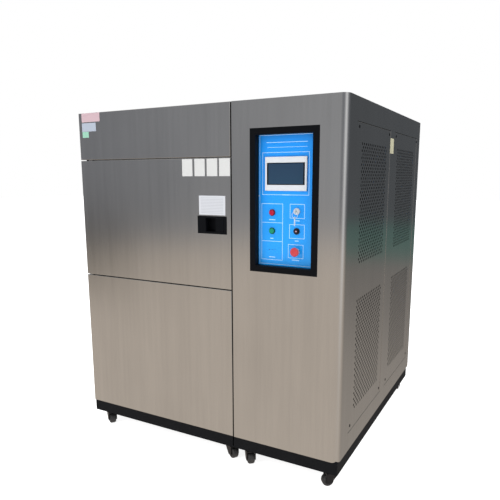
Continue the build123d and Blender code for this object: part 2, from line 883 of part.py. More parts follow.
with BuildPart() as compressors:
    for i in range(2):
        x = middle + compressor_from_joint
        y = front + compressor_from_front + i * compressor_pitch
        half_foot = compressor_foot / 2
        block(
            (x - half_foot, y - half_foot, deck_top),
            (x + half_foot, y + half_foot, deck_top + compressor_foot_sheet),
        )
        neck = compressor_height - compressor_shoulder
        turned(
            (x, y, deck_top),
            (0, 0, 1),
            (
                (0, 0),
                (compressor_radius - compressor_shoulder, 0),
                (compressor_radius, compressor_shoulder),
                (compressor_radius, neck),
                (compressor_radius - compressor_shoulder, compressor_height),
                (0, compressor_height),
            ),
        )
keep(compressors, "compressors")


# Control panel
fascia_front = front + fascia_recess
fascia_back = fascia_front + fascia_sheet
frame_back = fascia_back + fit + frame_wall
hmi_x = (frame_left + frame_right) / 2
hmi_z = frame_top - hmi_from_top
lamp_column, button_column = hmi_x + lamps_from_middle, hmi_x + buttons_from_middle
lamp_places = {name: frame_bottom + height for name, height in lamp_heights.items()}
buzzer_z = frame_bottom + buzzer_height
key_z, button_z = frame_bottom + key_height, frame_bottom + button_height
estop_z = frame_bottom + estop_height
outwards = (0, -1, 0)


def hmi_block(width, height, y_low, y_high, mode=Mode.ADD):
    """A block centred on the operator display."""
    low = (hmi_x - width / 2, y_low, hmi_z - height / 2)
    block(low, (hmi_x + width / 2, y_high, hmi_z + height / 2), mode)


with BuildPart() as control_frame:
    frame_block(0, front - frame_proud, front)
    chamfer(control_frame.faces().sort_by(Axis.Y)[0].edges(), frame_chamfer)
    frame_block(frame_lap, front, frame_back)
    frame_block(frame_lap + frame_wall, front + frame_wall, frame_back, Mode.SUBTRACT)
    frame_block(frame_band - frame_wall, front + frame_wall, frame_back)
    frame_block(frame_band, front - frame_proud, fascia_back + fit, Mode.SUBTRACT)
    frame_block(frame_band + fascia_lip, fascia_back, frame_back, Mode.SUBTRACT)
keep(control_frame, "control_frame")

hmi_body_width, hmi_body_height = hmi_width - 2 * hmi_body_inset, hmi_height - 2 * hmi_body_inset

with BuildPart() as fascia:
    frame_block(frame_band + fit, fascia_front, fascia_back)
    hmi_block(hmi_body_width + 2 * fit, hmi_body_height + 2 * fit, fascia_front, fascia_back, Mode.SUBTRACT)
    bore_places = [(lamp_column, z) for z in lamp_places.values()]
    bore_places += [(button_column, z) for z in (key_z, button_z, estop_z)]
    for x, z in bore_places:
        round_bar((x, fascia_back, z), outwards, fascia_sheet, control_bore_radius, Mode.SUBTRACT)
    for i in (-1, 0, 1):
        buzzer_x = lamp_column + i * buzzer_hole_pitch
        start = (buzzer_x, fascia_back, buzzer_z)
        round_bar(start, outwards, fascia_sheet, buzzer_hole_radius, Mode.SUBTRACT)
keep(fascia, "fascia")

bezel_front = fascia_front - hmi_bezel
screen_front = bezel_front + screen_recess
screen_back = screen_front + screen_sheet

with BuildPart() as hmi_housing:
    hmi_block(hmi_width, hmi_height, bezel_front, fascia_front)
    chamfer(hmi_housing.faces().sort_by(Axis.Y)[0].edges(), screen_recess)
    hmi_block(hmi_body_width, hmi_body_height, fascia_front, fascia_front + hmi_body_depth)
    screen_hole = (screen_width + 2 * fit, screen_height + 2 * fit)
    hmi_block(*screen_hole, bezel_front, screen_back + fit, Mode.SUBTRACT)
keep(hmi_housing, "hmi_housing")

with BuildPart() as hmi_screen:
    hmi_block(screen_width, screen_height, screen_front, screen_back)
keep(hmi_screen, "hmi_screen")

for name, z in lamp_places.items():
    with BuildPart() as lamp:
        turned(
            (lamp_column, fascia_front, z),
            outwards,
            (
                (0, -body_length),
                (body_radius, -body_length),
                (body_radius, 0),
                (ring_radius, 0),
                (ring_radius, ring_height),
                (lens_radius, ring_height),
                (lens_radius, ring_height + lens_height - lens_chamfer),
                (lens_radius - lens_chamfer, ring_height + lens_height),
                (0, ring_height + lens_height),
            ),
        )
    keep(lamp, name)


def collar(z, outer, height, bore, depth):
    """A flanged collar on the fascia with a blind bore for its moving piece."""
    turned(
        (button_column, fascia_front, z),
        outwards,
        (
            (0, -body_length),
            (body_radius, -body_length),
            (body_radius, 0),
            (outer, 0),
            (outer, height),
            (bore, height),
            (bore, -depth),
            (0, -depth),
        ),
    )


with BuildPart() as control_collars:
    collar(key_z, ring_radius, key_ring_height, key_plug_radius + run, key_plug_length)
    collar(button_z, ring_radius, ring_height, button_cap_radius + run, button_depth + button_travel + fit)
    stem_depth = button_depth + estop_travel + fit
    collar(estop_z, estop_collar_radius, estop_collar_height, estop_stem_radius + run, stem_depth)
keep(control_collars, "control_collars")

bow_height = key_ring_height + key_neck_height + key_bow_radius
eye_y = fascia_front - bow_height - key_bow_radius + key_eye_inset

with BuildPart() as key:
    plug_length = key_plug_length - fit + key_ring_height
    plug_start = (button_column, fascia_front + key_plug_length - fit, key_z)
    round_bar(plug_start, outwards, plug_length, key_plug_radius)
    block(
        (button_column - key_sheet / 2, fascia_front - bow_height, key_z - key_neck / 2),
        (button_column + key_sheet / 2, fascia_front - key_ring_height, key_z + key_neck / 2),
    )
    bow_start = (button_column - key_sheet / 2, fascia_front - bow_height, key_z)
    round_bar(bow_start, (1, 0, 0), key_sheet, key_bow_radius)
    eye_start = (button_column - key_sheet / 2, eye_y, key_z)
    round_bar(eye_start, (1, 0, 0), key_sheet, key_hole_radius, Mode.SUBTRACT)
keep(key, "key")

ring_top = key_z - key_hole_radius + ring_wire + fit

with BuildPart() as key_ring:
    ring_plane = Plane(origin=(button_column, eye_y, ring_top - key_ring_radius), z_dir=(0, 1, 0))
    with BuildSketch(ring_plane):
        Circle(key_ring_radius + ring_wire)
        Circle(key_ring_radius - ring_wire, mode=Mode.SUBTRACT)
    extrude(amount=ring_wire, both=True)
    spare_top = ring_top - 2 * key_ring_radius
    spare_start = (button_column - key_sheet / 2, eye_y, spare_top)
    round_bar(spare_start, (1, 0, 0), key_sheet, key_bow_radius - key_sheet)
    block(
        (button_column - key_sheet / 2, eye_y - spare_key_width / 2, spare_top - spare_key_length),
        (button_column + key_sheet / 2, eye_y + spare_key_width / 2, spare_top),
    )
keep(key_ring, "key_ring")

with BuildPart() as push_button:
    cap_length = button_depth + ring_height + button_proud
    cap_start = (button_column, fascia_front + button_depth, button_z)
    round_bar(cap_start, outwards, cap_length, button_cap_radius)
    chamfer(push_button.faces().sort_by(Axis.Y)[0].edges(), latch_chamfer)
keep(push_button, "push_button")

head_start = estop_collar_height + estop_travel + fit
head_top = head_start + estop_head_height

with BuildPart() as estop_stem:
    stem_outline = (
        (0, -button_depth),
        (estop_stem_radius, -button_depth),
        (estop_stem_radius, head_start - fit),
        (estop_spigot_radius, head_start - fit),
        (estop_spigot_radius, head_start + estop_spigot_length),
        (0, head_start + estop_spigot_length),
    )
    turned((button_column, fascia_front, estop_z), outwards, stem_outline)
keep(estop_stem, "estop_stem")

with BuildPart() as estop_head:
    head_outline = (
        (estop_spigot_radius + run, head_start),
        (estop_head_radius - estop_rim_chamfer, head_start),
        (estop_head_radius, head_start + estop_rim_chamfer),
        (estop_head_radius, head_top - estop_crown_chamfer - estop_rim_chamfer),
        (estop_head_radius - estop_rim_chamfer, head_top - estop_crown_chamfer),
        (0, head_top),
        (0, head_start + estop_spigot_length + fit),
        (estop_spigot_radius + run, head_start + estop_spigot_length + fit),
    )
    turned((button_column, fascia_front, estop_z), outwards, head_outline)
keep(estop_head, "estop_head")
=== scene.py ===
import json
import math
from contextlib import contextmanager
from functools import reduce

import bmesh
import bpy
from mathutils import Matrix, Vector


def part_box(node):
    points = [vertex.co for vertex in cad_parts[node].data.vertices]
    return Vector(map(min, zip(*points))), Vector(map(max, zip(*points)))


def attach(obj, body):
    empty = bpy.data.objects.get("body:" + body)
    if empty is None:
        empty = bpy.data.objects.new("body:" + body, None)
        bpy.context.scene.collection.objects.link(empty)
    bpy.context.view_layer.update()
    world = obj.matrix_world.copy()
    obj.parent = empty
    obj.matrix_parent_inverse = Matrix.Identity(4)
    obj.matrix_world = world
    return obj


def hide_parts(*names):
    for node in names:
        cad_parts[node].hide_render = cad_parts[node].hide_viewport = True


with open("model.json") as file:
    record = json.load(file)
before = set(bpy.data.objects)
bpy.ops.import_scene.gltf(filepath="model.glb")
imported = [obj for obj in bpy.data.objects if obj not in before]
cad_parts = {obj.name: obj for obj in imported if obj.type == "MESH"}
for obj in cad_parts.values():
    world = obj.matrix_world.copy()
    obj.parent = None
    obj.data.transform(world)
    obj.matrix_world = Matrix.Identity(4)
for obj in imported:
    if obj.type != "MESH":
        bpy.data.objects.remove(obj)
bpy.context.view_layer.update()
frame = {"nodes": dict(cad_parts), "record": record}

# Sizes and places are in millimetres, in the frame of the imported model
MM = 0.001
X, Y, Z = range(3)
NODE = frame["nodes"]
BEHAVIOUR = frame["record"]["behaviour"]
OWNER = {node: body for body, nodes in BEHAVIOUR["bodies"].items() for node in nodes}


def node_box(name):
    """The low and the high corner of a node."""
    return [[round(c / MM, 4) for c in corner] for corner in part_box(name)]


COVER_LOW, COVER_HIGH = node_box("control_cover")
FRONT_FACE, RIGHT_FACE = COVER_LOW[Y], COVER_HIGH[X]
FASCIA_LOW, FASCIA_HIGH = node_box("fascia")


# Shader maths
class Value:
    """A node's output, with the operators that shader expressions need."""

    def __init__(self, tree, socket):
        self.tree, self.socket = tree, socket

    def maths(self, operation, *others):
        """One Math node on this value and the others."""
        numbers = dict(enumerate((self, *others)))
        return node(self.tree, "ShaderNodeMath", {"operation": operation}, numbers)

    def __add__(self, other):
        return self.maths("ADD", other)

    def __sub__(self, other):
        return self.maths("SUBTRACT", other)

    def __mul__(self, other):
        return self.maths("MULTIPLY", other)

    def __rsub__(self, other):
        return node(self.tree, "ShaderNodeMath", {"operation": "SUBTRACT"}, {0: other, 1: self})

    def __abs__(self):
        return self.maths("ABSOLUTE")

    def __lt__(self, other):
        return self.maths("LESS_THAN", other)

    def __gt__(self, other):
        return self.maths("GREATER_THAN", other)

    def __pow__(self, other):
        return self.maths("POWER", other)

    def larger(self, other):
        return self.maths("MAXIMUM", other)

    __radd__ = __add__
    __rmul__ = __mul__


def node(tree, kind, settings, inputs, output=0):
    """Adds a node: its settings first, then the values or links of its sockets."""
    made = tree.nodes.new(kind)
    for name, value in settings.items():
        setattr(made, name, value)
    for name, value in inputs.items():
        if isinstance(value, Value):
            tree.links.new(value.socket, made.inputs[name])
        else:
            made.inputs[name].default_value = value
    return Value(tree, made.outputs[output])


def blend(tree, factor, first, second):
    """A colour between two colours."""
    first, second = (c if isinstance(c, Value) else (*c, 1.0) for c in (first, second))
    return node(tree, "ShaderNodeMix", {"data_type": "RGBA"}, {0: factor, 6: first, 7: second}, 2)


def any_of(masks):
    """1 where any of the masks is."""
    return reduce(Value.larger, masks)


def shade(colour, factor):
    """A darker or lighter tone of a colour."""
    return [min(1.0, c * factor) for c in colour]


class Finish:
    """A material being built up around one principled shader."""

    def __init__(self, name, colour, **fixed):
        self.material = bpy.data.materials.new(name)
        self.material.use_nodes = True
        self.tree = self.material.node_tree
        self.shader = self.tree.nodes["Principled BSDF"]
        self.shader.inputs["Base Color"].default_value = (*colour, 1.0)
        for key, value in fixed.items():
            self.shader.inputs[key.replace("_", " ")].default_value = value
        self.place = node(self.tree, "ShaderNodeTexCoord", {}, {}, "Object")

    def axis(self, number):
        """One coordinate of the surface, in metres."""
        return node(self.tree, "ShaderNodeSeparateXYZ", {}, {0: self.place}, number)

    def height_on(self, name):
        """0 at the bottom of a node and 1 at its top."""
        low, high = node_box(name)
        return (self.axis(Z) - low[Z] * MM) * (1 / ((high[Z] - low[Z]) * MM))

    def from_centre(self, name):
        """The distance in metres from the axis of a round control."""
        low, high = node_box(name)
        x, z = (self.axis(i) - (low[i] + high[i]) / 2 * MM for i in (X, Z))
        return (x * x + z * z) ** 0.5

    def noise(self, size, stretch=(1, 1, 1), detail=3.0):
        """Noise from 0 to 1 in blobs of one size, longer where stretch is larger."""
        scale = [1 / (size * MM * longer) for longer in stretch]
        moved = node(self.tree, "ShaderNodeMapping", {}, {"Vector": self.place, "Scale": scale})
        return node(self.tree, "ShaderNodeTexNoise", {}, {"Vector": moved, "Scale": 1.0, "Detail": detail})

    def outside(self, rectangle, across=X):
        """Metres past the edges of an upright rectangle, negative inside it."""
        left, right, bottom, top = rectangle
        past = [
            abs(self.axis(axis) - (low + high) / 2 * MM) - (high - low) / 2 * MM
            for axis, low, high in ((across, left, right), (Z, bottom, top))
        ]
        return past[0].larger(past[1])

    def outline(self, rectangle, half_line):
        """1 on the edges of an upright rectangle."""
        return abs(self.outside(rectangle)) < half_line * MM

    def patch(self, rectangle, across=X):
        """1 inside an upright rectangle."""
        return self.outside(rectangle, across) < 0.0

    def mix(self, factor, first, second):
        """A colour between two colours."""
        return blend(self.tree, factor, first, second)

    def feed(self, name, value):
        """Lets a value drive one socket of the shader."""
        self.tree.links.new(value.socket, self.shader.inputs[name])

    def bump(self, height, distance, strength):
        """Raises the surface by a height map."""
        inputs = {"Height": height, "Distance": distance * MM, "Strength": strength}
        self.feed("Normal", node(self.tree, "ShaderNodeBump", {}, inputs))


# Metals, coats and mouldings
STEEL, STEEL_ROUGHNESS = (0.61, 0.595, 0.575), 0.19
INNER_STEEL, INNER_STEEL_ROUGHNESS = (0.66, 0.66, 0.65), 0.36
BLACK = (0.003, 0.0035, 0.005)
RING_METAL, BLACK_RING = (0.5, 0.53, 0.56), (0.01, 0.01, 0.018)
DUST = (0.09, 0.085, 0.08)

# One card on the side framing: its front, back, bottom and top edge
SIDE_CARD, SIDE_CARD_PAPER = (-24, 52, 1524, 1600), (0.45, 0.43, 0.3)


def brushed_steel(name, colour, roughness, grain_axis=Z, anisotropy=0.6, card=None):
    """Stainless sheet with hairlines along one axis, and a bare card where one is stuck on."""
    finish = Finish(name, colour, Metallic=1.0, Anisotropic=anisotropy)

    def drawn(length):
        """How much longer a pattern is along the grain."""
        return [length if axis == grain_axis else 1 for axis in (X, Y, Z)]

    grain = finish.noise(0.9, drawn(120), 2.0)
    streaks = finish.noise(20, drawn(40))
    clouds = finish.noise(280, (1, 1, 1.6), 2.0)
    bands = finish.noise(90, drawn(14), 2.0)
    tone = grain * 0.25 + streaks * 0.2 + clouds * 0.3 + bands * 0.25
    tint = finish.mix(tone, shade(colour, 0.74), shade(colour, 1.22))
    gloss = roughness - 0.05 + clouds * 0.05 + grain * 0.04
    if card:
        on_card = finish.patch(card, across=Y) * (finish.axis(X) > (RIGHT_FACE - 0.5) * MM)
        tint = finish.mix(on_card, tint, SIDE_CARD_PAPER)
        gloss = gloss + on_card * 0.25
        finish.feed("Metallic", 1.0 - on_card)
    finish.feed("Base Color", tint)
    finish.feed("Roughness", gloss)
    finish.bump(grain * 0.01 + bands, 2.2, 0.35)
    return finish.material


def plain_metal(name, colour, roughness, speckle=4):
    """Cast, coated or turned metal with a faint speckle."""
    finish = Finish(name, colour, Metallic=1.0)
    spots = finish.noise(speckle)
    finish.feed("Base Color", finish.mix(spots, shade(colour, 0.8), colour))
    finish.feed("Roughness", roughness - 0.06 + spots * 0.12)
    return finish.material


def powder_coat(name, colour, roughness):
    """Powder-coated steel with a fine orange peel and slightly worn clouds."""
    finish = Finish(name, colour, Specular_IOR_Level=0.14)
    peel = finish.noise(1.6, detail=2.0)
    wear = finish.noise(70, detail=4.0)
    finish.feed("Base Color", finish.mix(wear, colour, [c * 1.2 + 0.003 for c in colour]))
    finish.feed("Roughness", roughness - 0.05 + wear * 0.1)
    finish.bump(peel, 0.1, 0.3)
    return finish.material


def moulded(name, colour, roughness, grain=0.9, shine=0.5):
    """Moulded plastic with a fine spark-eroded grain."""
    finish = Finish(name, colour, Specular_IOR_Level=shine)
    pits = finish.noise(grain, detail=2.0)
    flow = finish.noise(30)
    finish.feed("Base Color", finish.mix(flow, shade(colour, 0.9), colour))
    finish.feed("Roughness", roughness - 0.04 + pits * 0.08)
    finish.bump(pits, 0.04, 0.3)
    return finish.material


def rubber(name, colour):
    """Caster tread: dull black with scuffs."""
    finish = Finish(name, colour)
    scuffs = finish.noise(6, detail=5.0)
    finish.feed("Base Color", finish.mix(scuffs ** 3.0, colour, DUST))
    finish.feed("Roughness", 0.42 + scuffs * 0.2)
    finish.bump(scuffs, 0.1, 0.3)
    return finish.material


def rigid_foam(name, colour):
    """Yellowish rigid foam with cells."""
    finish = Finish(name, colour, Roughness=0.9)
    cells = finish.noise(3, detail=4.0)
    finish.feed("Base Color", finish.mix(cells, shade(colour, 0.75), colour))
    finish.bump(cells, 0.6, 0.5)
    return finish.material


# Controls
SCREEN_BORDER_SIDE, SCREEN_BORDER_END, SCREEN_BLACK = 7, 3.5, (0.004, 0.005, 0.008)
SCREEN_TONE_BOTTOM, SCREEN_TONE_TOP = (0.02, 0.048, 0.085), (0.018, 0.04, 0.076)
BUTTON_BLACK, BUTTON_CENTRE = (0.008, 0.008, 0.014), (0.55, 0.3, 0.36)
BUTTON_CENTRE_RADIUS, LENS_RADIUS = 3.4, 11.9


def display_glass():
    """The dark display: a grey-blue field, lighter towards the bottom, inside a black border, under gloss.
    """
    finish = Finish("display_glass", SCREEN_TONE_TOP, Roughness=0.12, Specular_IOR_Level=0.25)
    low, high = node_box("hmi_screen")
    left, right = low[X] + SCREEN_BORDER_SIDE, high[X] - SCREEN_BORDER_SIDE
    inside_border = finish.patch((left, right, low[Z] + SCREEN_BORDER_END, high[Z] - SCREEN_BORDER_END))
    # The grey-blue field is lighter towards the bottom and darker towards the top
    screen_tone = finish.mix(finish.height_on("hmi_screen"), SCREEN_TONE_BOTTOM, SCREEN_TONE_TOP)
    finish.feed("Base Color", finish.mix(inside_border, SCREEN_BLACK, screen_tone))
    return finish.material


def button_cap():
    """The black push button with its pale centre."""
    finish = Finish("button_cap", BUTTON_BLACK, Roughness=0.25)
    centre = finish.from_centre("push_button") < BUTTON_CENTRE_RADIUS * MM
    finish.feed("Base Color", finish.mix(centre, BUTTON_BLACK, BUTTON_CENTRE))
    return finish.material


def control_rings():
    """The pale rings of the controls, of which the push button's is black."""
    finish = Finish("control_rings", RING_METAL, Roughness=0.3)
    finish.feed("Base Color", finish.mix(finish.patch(PRINTED_BOXES["button"]), RING_METAL, BLACK_RING))
    return finish.material


def lamp_lens(name, colour, lamp):
    """A signal lamp: a faceted coloured lens inside a darker bezel ring."""
    finish = Finish(name, colour, Roughness=0.18)
    ring = finish.from_centre(lamp) > LENS_RADIUS * MM
    facets = finish.noise(3.5, (1, 6, 1), 1.0)
    lens = finish.mix(facets, shade(colour, 0.55), shade(colour, 1.3))
    finish.feed("Base Color", finish.mix(ring, lens, [c * 0.25 + 0.01 for c in colour]))
    return finish.material


# Print on the fascia: boxes by left, right, bottom and top edge, bars by centre, width and height
PRINTED_BOXES = {
    "edge": (328, 581, 1016, 1585),
    "display": (342, 565, 1328, 1511),
    "lamps": (338, 442, 1036, 1288),
    "key": (478, 546.5, 1227, 1288),
    "button": (476, 547, 1138, 1199),
    "stop": (471, 542.5, 1050, 1110),
}
HALF_LINE = 0.9
LAMP_DIVIDERS = (1204, 1120)
CAPTION_BARS = (
    (391, 1217, 30), (389, 1133, 16), (391, 1048, 30), (514, 1216, 22),
    (511, 1127, 18), (507, 1041, 34), (456, 1328, 34),
)
TITLE_BARS = ((458.5, 1554, 196, 2.0), (460, 1533, 190, 1.2))
DIVIDER_HEIGHT, CAPTION_HEIGHT = 1.8, 3.0
# The film's blue at the bottom, and a darker blue at the top that is painted shade from the frame's recess
FILM_LOW, FILM_PAINTED_SHADE_TOP = (0.003, 0.31, 0.85), (0.002, 0.25, 0.79)
INK, INK_COVER = (0.6, 0.82, 0.95), 0.8


def bar(x, z, width, height):
    """The rectangle of a bar round its centre."""
    return x - width / 2, x + width / 2, z - height / 2, z + height / 2


def fascia_print_and_painted_shade():
    """The blue fascia film with its printed boxes and plain bars, darkened towards the top by painted
    shade from the frame's recess.
    """
    finish = Finish("fascia_print_and_painted_shade", FILM_PAINTED_SHADE_TOP, Roughness=0.34)
    left, right, *_ = PRINTED_BOXES["lamps"]
    bars = [bar((left + right) / 2, z, right - left, DIVIDER_HEIGHT) for z in LAMP_DIVIDERS]
    bars += [bar(*caption, CAPTION_HEIGHT) for caption in CAPTION_BARS]
    bars += [bar(*title) for title in TITLE_BARS]
    masks = [finish.outline(box, HALF_LINE) for box in PRINTED_BOXES.values()]
    masks += [finish.patch(rectangle) for rectangle in bars]
    # Painted shade: the film darkens towards the top, where the frame's recess shades it
    film_and_painted_shade = finish.mix(finish.height_on("fascia"), FILM_LOW, FILM_PAINTED_SHADE_TOP)
    finish.feed("Base Color", finish.mix(any_of(masks) * INK_COVER, film_and_painted_shade, INK))
    return finish.material


# Paper
RULE_INK, RULE_COVER, RULE_HEIGHT = (0.18, 0.19, 0.22), 0.6, 1.4


def paper(name, colour, rules=None):
    """Coated paper, with faint ruled lines where rules gives their edges and step."""
    finish = Finish(name, colour, Roughness=0.45)
    base = finish.mix(finish.noise(2), shade(colour, 0.93), colour)
    if rules:
        left, right, bottom, top, step = rules
        heights = range(bottom, top + 1, step)
        lines = [finish.patch(bar((left + right) / 2, z, right - left, RULE_HEIGHT)) for z in heights]
        base = finish.mix(any_of(lines) * RULE_COVER, base, RULE_INK)
    finish.feed("Base Color", base)
    return finish.material


# Finishes by material slot, and the carded steel of the side framing
FINISHES = {
    "stainless": brushed_steel("hairline_steel", STEEL, STEEL_ROUGHNESS),
    "inner_steel": brushed_steel("inner_steel", INNER_STEEL, INNER_STEEL_ROUGHNESS, X, 0.3),
    "galvanised": plain_metal("galvanised_sheet", (0.42, 0.44, 0.46), 0.5, 20),
    "zinc": plain_metal("dark_zinc", (0.05, 0.05, 0.055), 0.42),
    "black_paint": powder_coat("black_powder_coat", BLACK, 0.6),
    "motor_paint": powder_coat("motor_paint", (0.02, 0.02, 0.024), 0.5),
    "fins": plain_metal("coil_fins", (0.7, 0.71, 0.72), 0.35),
    "foam": rigid_foam("rigid_foam", (0.8, 0.72, 0.5)),
    "silicone": moulded("grey_silicone", (0.5, 0.5, 0.48), 0.6, 2),
    "black_plastic": moulded("black_moulding", BLACK, 0.5, shine=0.1),
    "black_button": button_cap(),
    "black_rubber": rubber("caster_rubber", (0.016, 0.016, 0.017)),
    "white_plastic": moulded("white_moulding", (0.6, 0.62, 0.65), 0.4),
    "chrome_ring": control_rings(),
    "key_metal": moulded("key_metal", (0.55, 0.6, 0.62), 0.3),
    "red_plastic": moulded("red_moulding", (0.5, 0.04, 0.05), 0.3),
    "screen": display_glass(),
    "blue_fascia": fascia_print_and_painted_shade(),
    "red_lens": lamp_lens("red_lens", (0.42, 0.004, 0.03), "red_lamp"),
    "green_lens": lamp_lens("green_lens", (0.004, 0.26, 0.13), "green_lamp"),
}
CARDED_STEEL = brushed_steel("carded_steel", STEEL, STEEL_ROUGHNESS, card=SIDE_CARD)


def dress_nodes():
    """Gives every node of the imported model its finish."""
    slots = {part["node"]: part["material_slot"] for part in frame["record"]["subparts"]}
    for name, obj in NODE.items():
        finish = CARDED_STEEL if name == "side_framing" else FINISHES[slots[name]]
        obj.data.materials.clear()
        obj.data.materials.append(finish)


# Modelling
FLAT = math.radians(1)
SHARP = math.radians(30)
SMOOTH = math.radians(35)
TOUCH = 0.05


def deselect():
    """Leaves nothing selected, so that an operator acts only on what comes next."""
    bpy.ops.object.select_all(action="DESELECT")


def take_up(piece):
    """Makes one piece the only selected and active object."""
    deselect()
    piece.select_set(True)
    bpy.context.view_layer.objects.active = piece


@contextmanager
def editing(piece):
    """Edit mode on one piece."""
    take_up(piece)
    bpy.ops.object.mode_set(mode="EDIT")
    yield
    bpy.ops.object.mode_set(mode="OBJECT")


def pick(kind, wanted):
    """In edit mode, selects the edges or faces that a test on the mesh element accepts."""
    bpy.ops.mesh.select_all(action="DESELECT")
    bpy.ops.mesh.select_mode(type=kind)
    mesh = bmesh.from_edit_mesh(bpy.context.object.data)
    for element in mesh.edges if kind == "EDGE" else mesh.faces:
        if wanted(element):
            element.select_set(True)
    mesh.select_flush_mode()
    bmesh.update_edit_mesh(bpy.context.object.data)


def pick_all():
    """In edit mode, selects the whole mesh."""
    bpy.ops.mesh.select_all(action="SELECT")


def lies_at(edge, axis, place):
    """True for an edge with both ends at one place on an axis."""
    return all(abs(vertex.co[axis] - place) < TOUCH * MM for vertex in edge.verts)


def on_border(edge, axes, low, high):
    """True for an edge on a border of a box, seen along the axis that axes leaves out."""
    return any(lies_at(edge, axis, corner[axis]) for axis in axes for corner in (low, high))


def apply_modifier(piece, kind, **settings):
    """Adds a modifier with its settings and applies it."""
    take_up(piece)
    modifier = piece.modifiers.new(kind.lower(), kind)
    for name, value in settings.items():
        setattr(modifier, name, value)
    bpy.ops.object.modifier_apply(modifier=modifier.name)


def smooth(piece):
    """Shades bends smooth while large faces keep their own normals."""
    take_up(piece)
    bpy.ops.object.shade_smooth_by_angle(angle=SMOOTH)
    apply_modifier(piece, "WEIGHTED_NORMAL", keep_sharp=True, weight=100)


def round_off(piece, width, segments):
    """Bevels all sharp edges of a piece."""
    apply_modifier(
        piece, "BEVEL", width=width * MM, segments=segments, limit_method="ANGLE", angle_limit=SHARP,
    )
    smooth(piece)


def settle(piece, name, body, slot, finish=None):
    """Applies a piece's place, names it, and gives it its body, slot and finish."""
    take_up(piece)
    bpy.ops.object.transform_apply(location=True, rotation=True, scale=True)
    piece.name = name
    piece.data.name = name
    piece.data.materials.clear()
    piece.data.materials.append(finish or FINISHES[slot])
    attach(piece, body)


def clean_copy(name, replaced):
    """A copy of a node with its loose triangles merged into whole faces."""
    source = NODE[replaced]
    mesh = source.data.copy()
    mesh.transform(source.matrix_world)
    piece = bpy.data.objects.new(name, mesh)
    bpy.context.collection.objects.link(piece)
    with editing(piece):
        pick_all()
        bpy.ops.mesh.remove_doubles(threshold=0.01 * MM)
        bpy.ops.mesh.dissolve_limited(angle_limit=FLAT)
        bpy.ops.mesh.select_all(action="DESELECT")
    return piece


# Front sheets
FRONT_SHEETS = ("top_front_panel", "lower_front_panel", "door_shell")
BEND_RADIUS = 2


def sheet_with_bends(replaced, on_bend):
    """A folded sheet whose outer bends are rounded, in place of its plain node."""

    def bends(edge):
        return len(edge.link_faces) == 2 and edge.calc_face_angle(0) > SHARP and on_bend(edge)

    name = f"{replaced}_sheet"
    piece = clean_copy(name, replaced)
    with editing(piece):
        pick("EDGE", bends)
        bpy.ops.mesh.bevel(offset=BEND_RADIUS * MM, segments=3, affect="EDGES", clamp_overlap=False)
    smooth(piece)
    settle(piece, name, OWNER[replaced], "stainless")
    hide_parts(replaced)


def bend_front_sheets():
    """Rounds the folded edges of the panels, the door and the control cover."""
    for replaced in FRONT_SHEETS:
        low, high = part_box(replaced)

        def on_front_rim(edge, low=low, high=high):
            return lies_at(edge, Y, low[Y]) and on_border(edge, (X, Z), low, high)

        sheet_with_bends(replaced, on_front_rim)
    low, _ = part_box("control_cover")
    sheet_with_bends("control_cover", lambda edge: lies_at(edge, X, low[X]) and lies_at(edge, Y, low[Y]))


# Perforated side panels
SIDE_PANELS = ("front_side_panel", "rear_side_panel")
CELL, HOLE = 15, 12.6
HOLE_SIDES = 12
FIELD_COLUMNS, FIELD_ROWS = 28, 36
FIELD_TOPS = (1555, 852)
PANEL_SET_BACK = 1  # room for the low screw heads inside the outline
PANEL_THICKNESS, PANEL_BEND = 1, 1.5


def is_hole(face, field_front):
    """True for the cells of the two fields that hold a hole, in a diagonal grid."""
    centre = face.calc_center_median()
    column = (centre.y - field_front) / (CELL * MM)
    if not 0 < column < FIELD_COLUMNS:
        return False
    rows = [(top * MM - centre.z) / (CELL * MM) for top in FIELD_TOPS]
    return any(0 < row < FIELD_ROWS and (int(column) + int(row)) % 2 == 0 for row in rows)


def punch_fields(field_front):
    """In edit mode, cuts a flat sheet into cells and opens the holes of both fields."""
    lines = [((0, field_front + i * CELL * MM, 0), (0, 1, 0)) for i in range(FIELD_COLUMNS + 1)]
    for top in FIELD_TOPS:
        lines += [((0, 0, (top - i * CELL) * MM), (0, 0, 1)) for i in range(FIELD_ROWS + 1)]
    for point, normal in lines:
        pick_all()
        bpy.ops.mesh.bisect(plane_co=point, plane_no=normal)
    pick("FACE", lambda face: is_hole(face, field_front))
    bpy.ops.mesh.inset(thickness=(CELL - HOLE) / 2 * MM, use_individual=True)
    bpy.ops.mesh.bevel(offset=HOLE / 2 * MM, segments=3, affect="VERTICES", clamp_overlap=False)
    pick_all()
    bpy.ops.mesh.remove_doubles(threshold=0.02 * MM)
    pick("FACE", lambda face: len(face.verts) == HOLE_SIDES and face.calc_area() < (HOLE * MM) ** 2)
    bpy.ops.mesh.delete(type="FACE")


def fold_back(low, high, face_x):
    """In edit mode, folds the outer edges of the sheet back and rounds the fold."""
    pick("EDGE", lambda edge: len(edge.link_faces) == 1 and on_border(edge, (Y, Z), low, high))
    bpy.ops.mesh.extrude_region_move(TRANSFORM_OT_translate={"value": (low.x - face_x, 0, 0)})
    pick("EDGE", lambda edge: on_border(edge, (Y, Z), low, high) and lies_at(edge, X, face_x))
    bpy.ops.mesh.bevel(offset=PANEL_BEND * MM, segments=2, affect="EDGES", clamp_overlap=False)
    pick_all()
    bpy.ops.mesh.normals_make_consistent(inside=False)


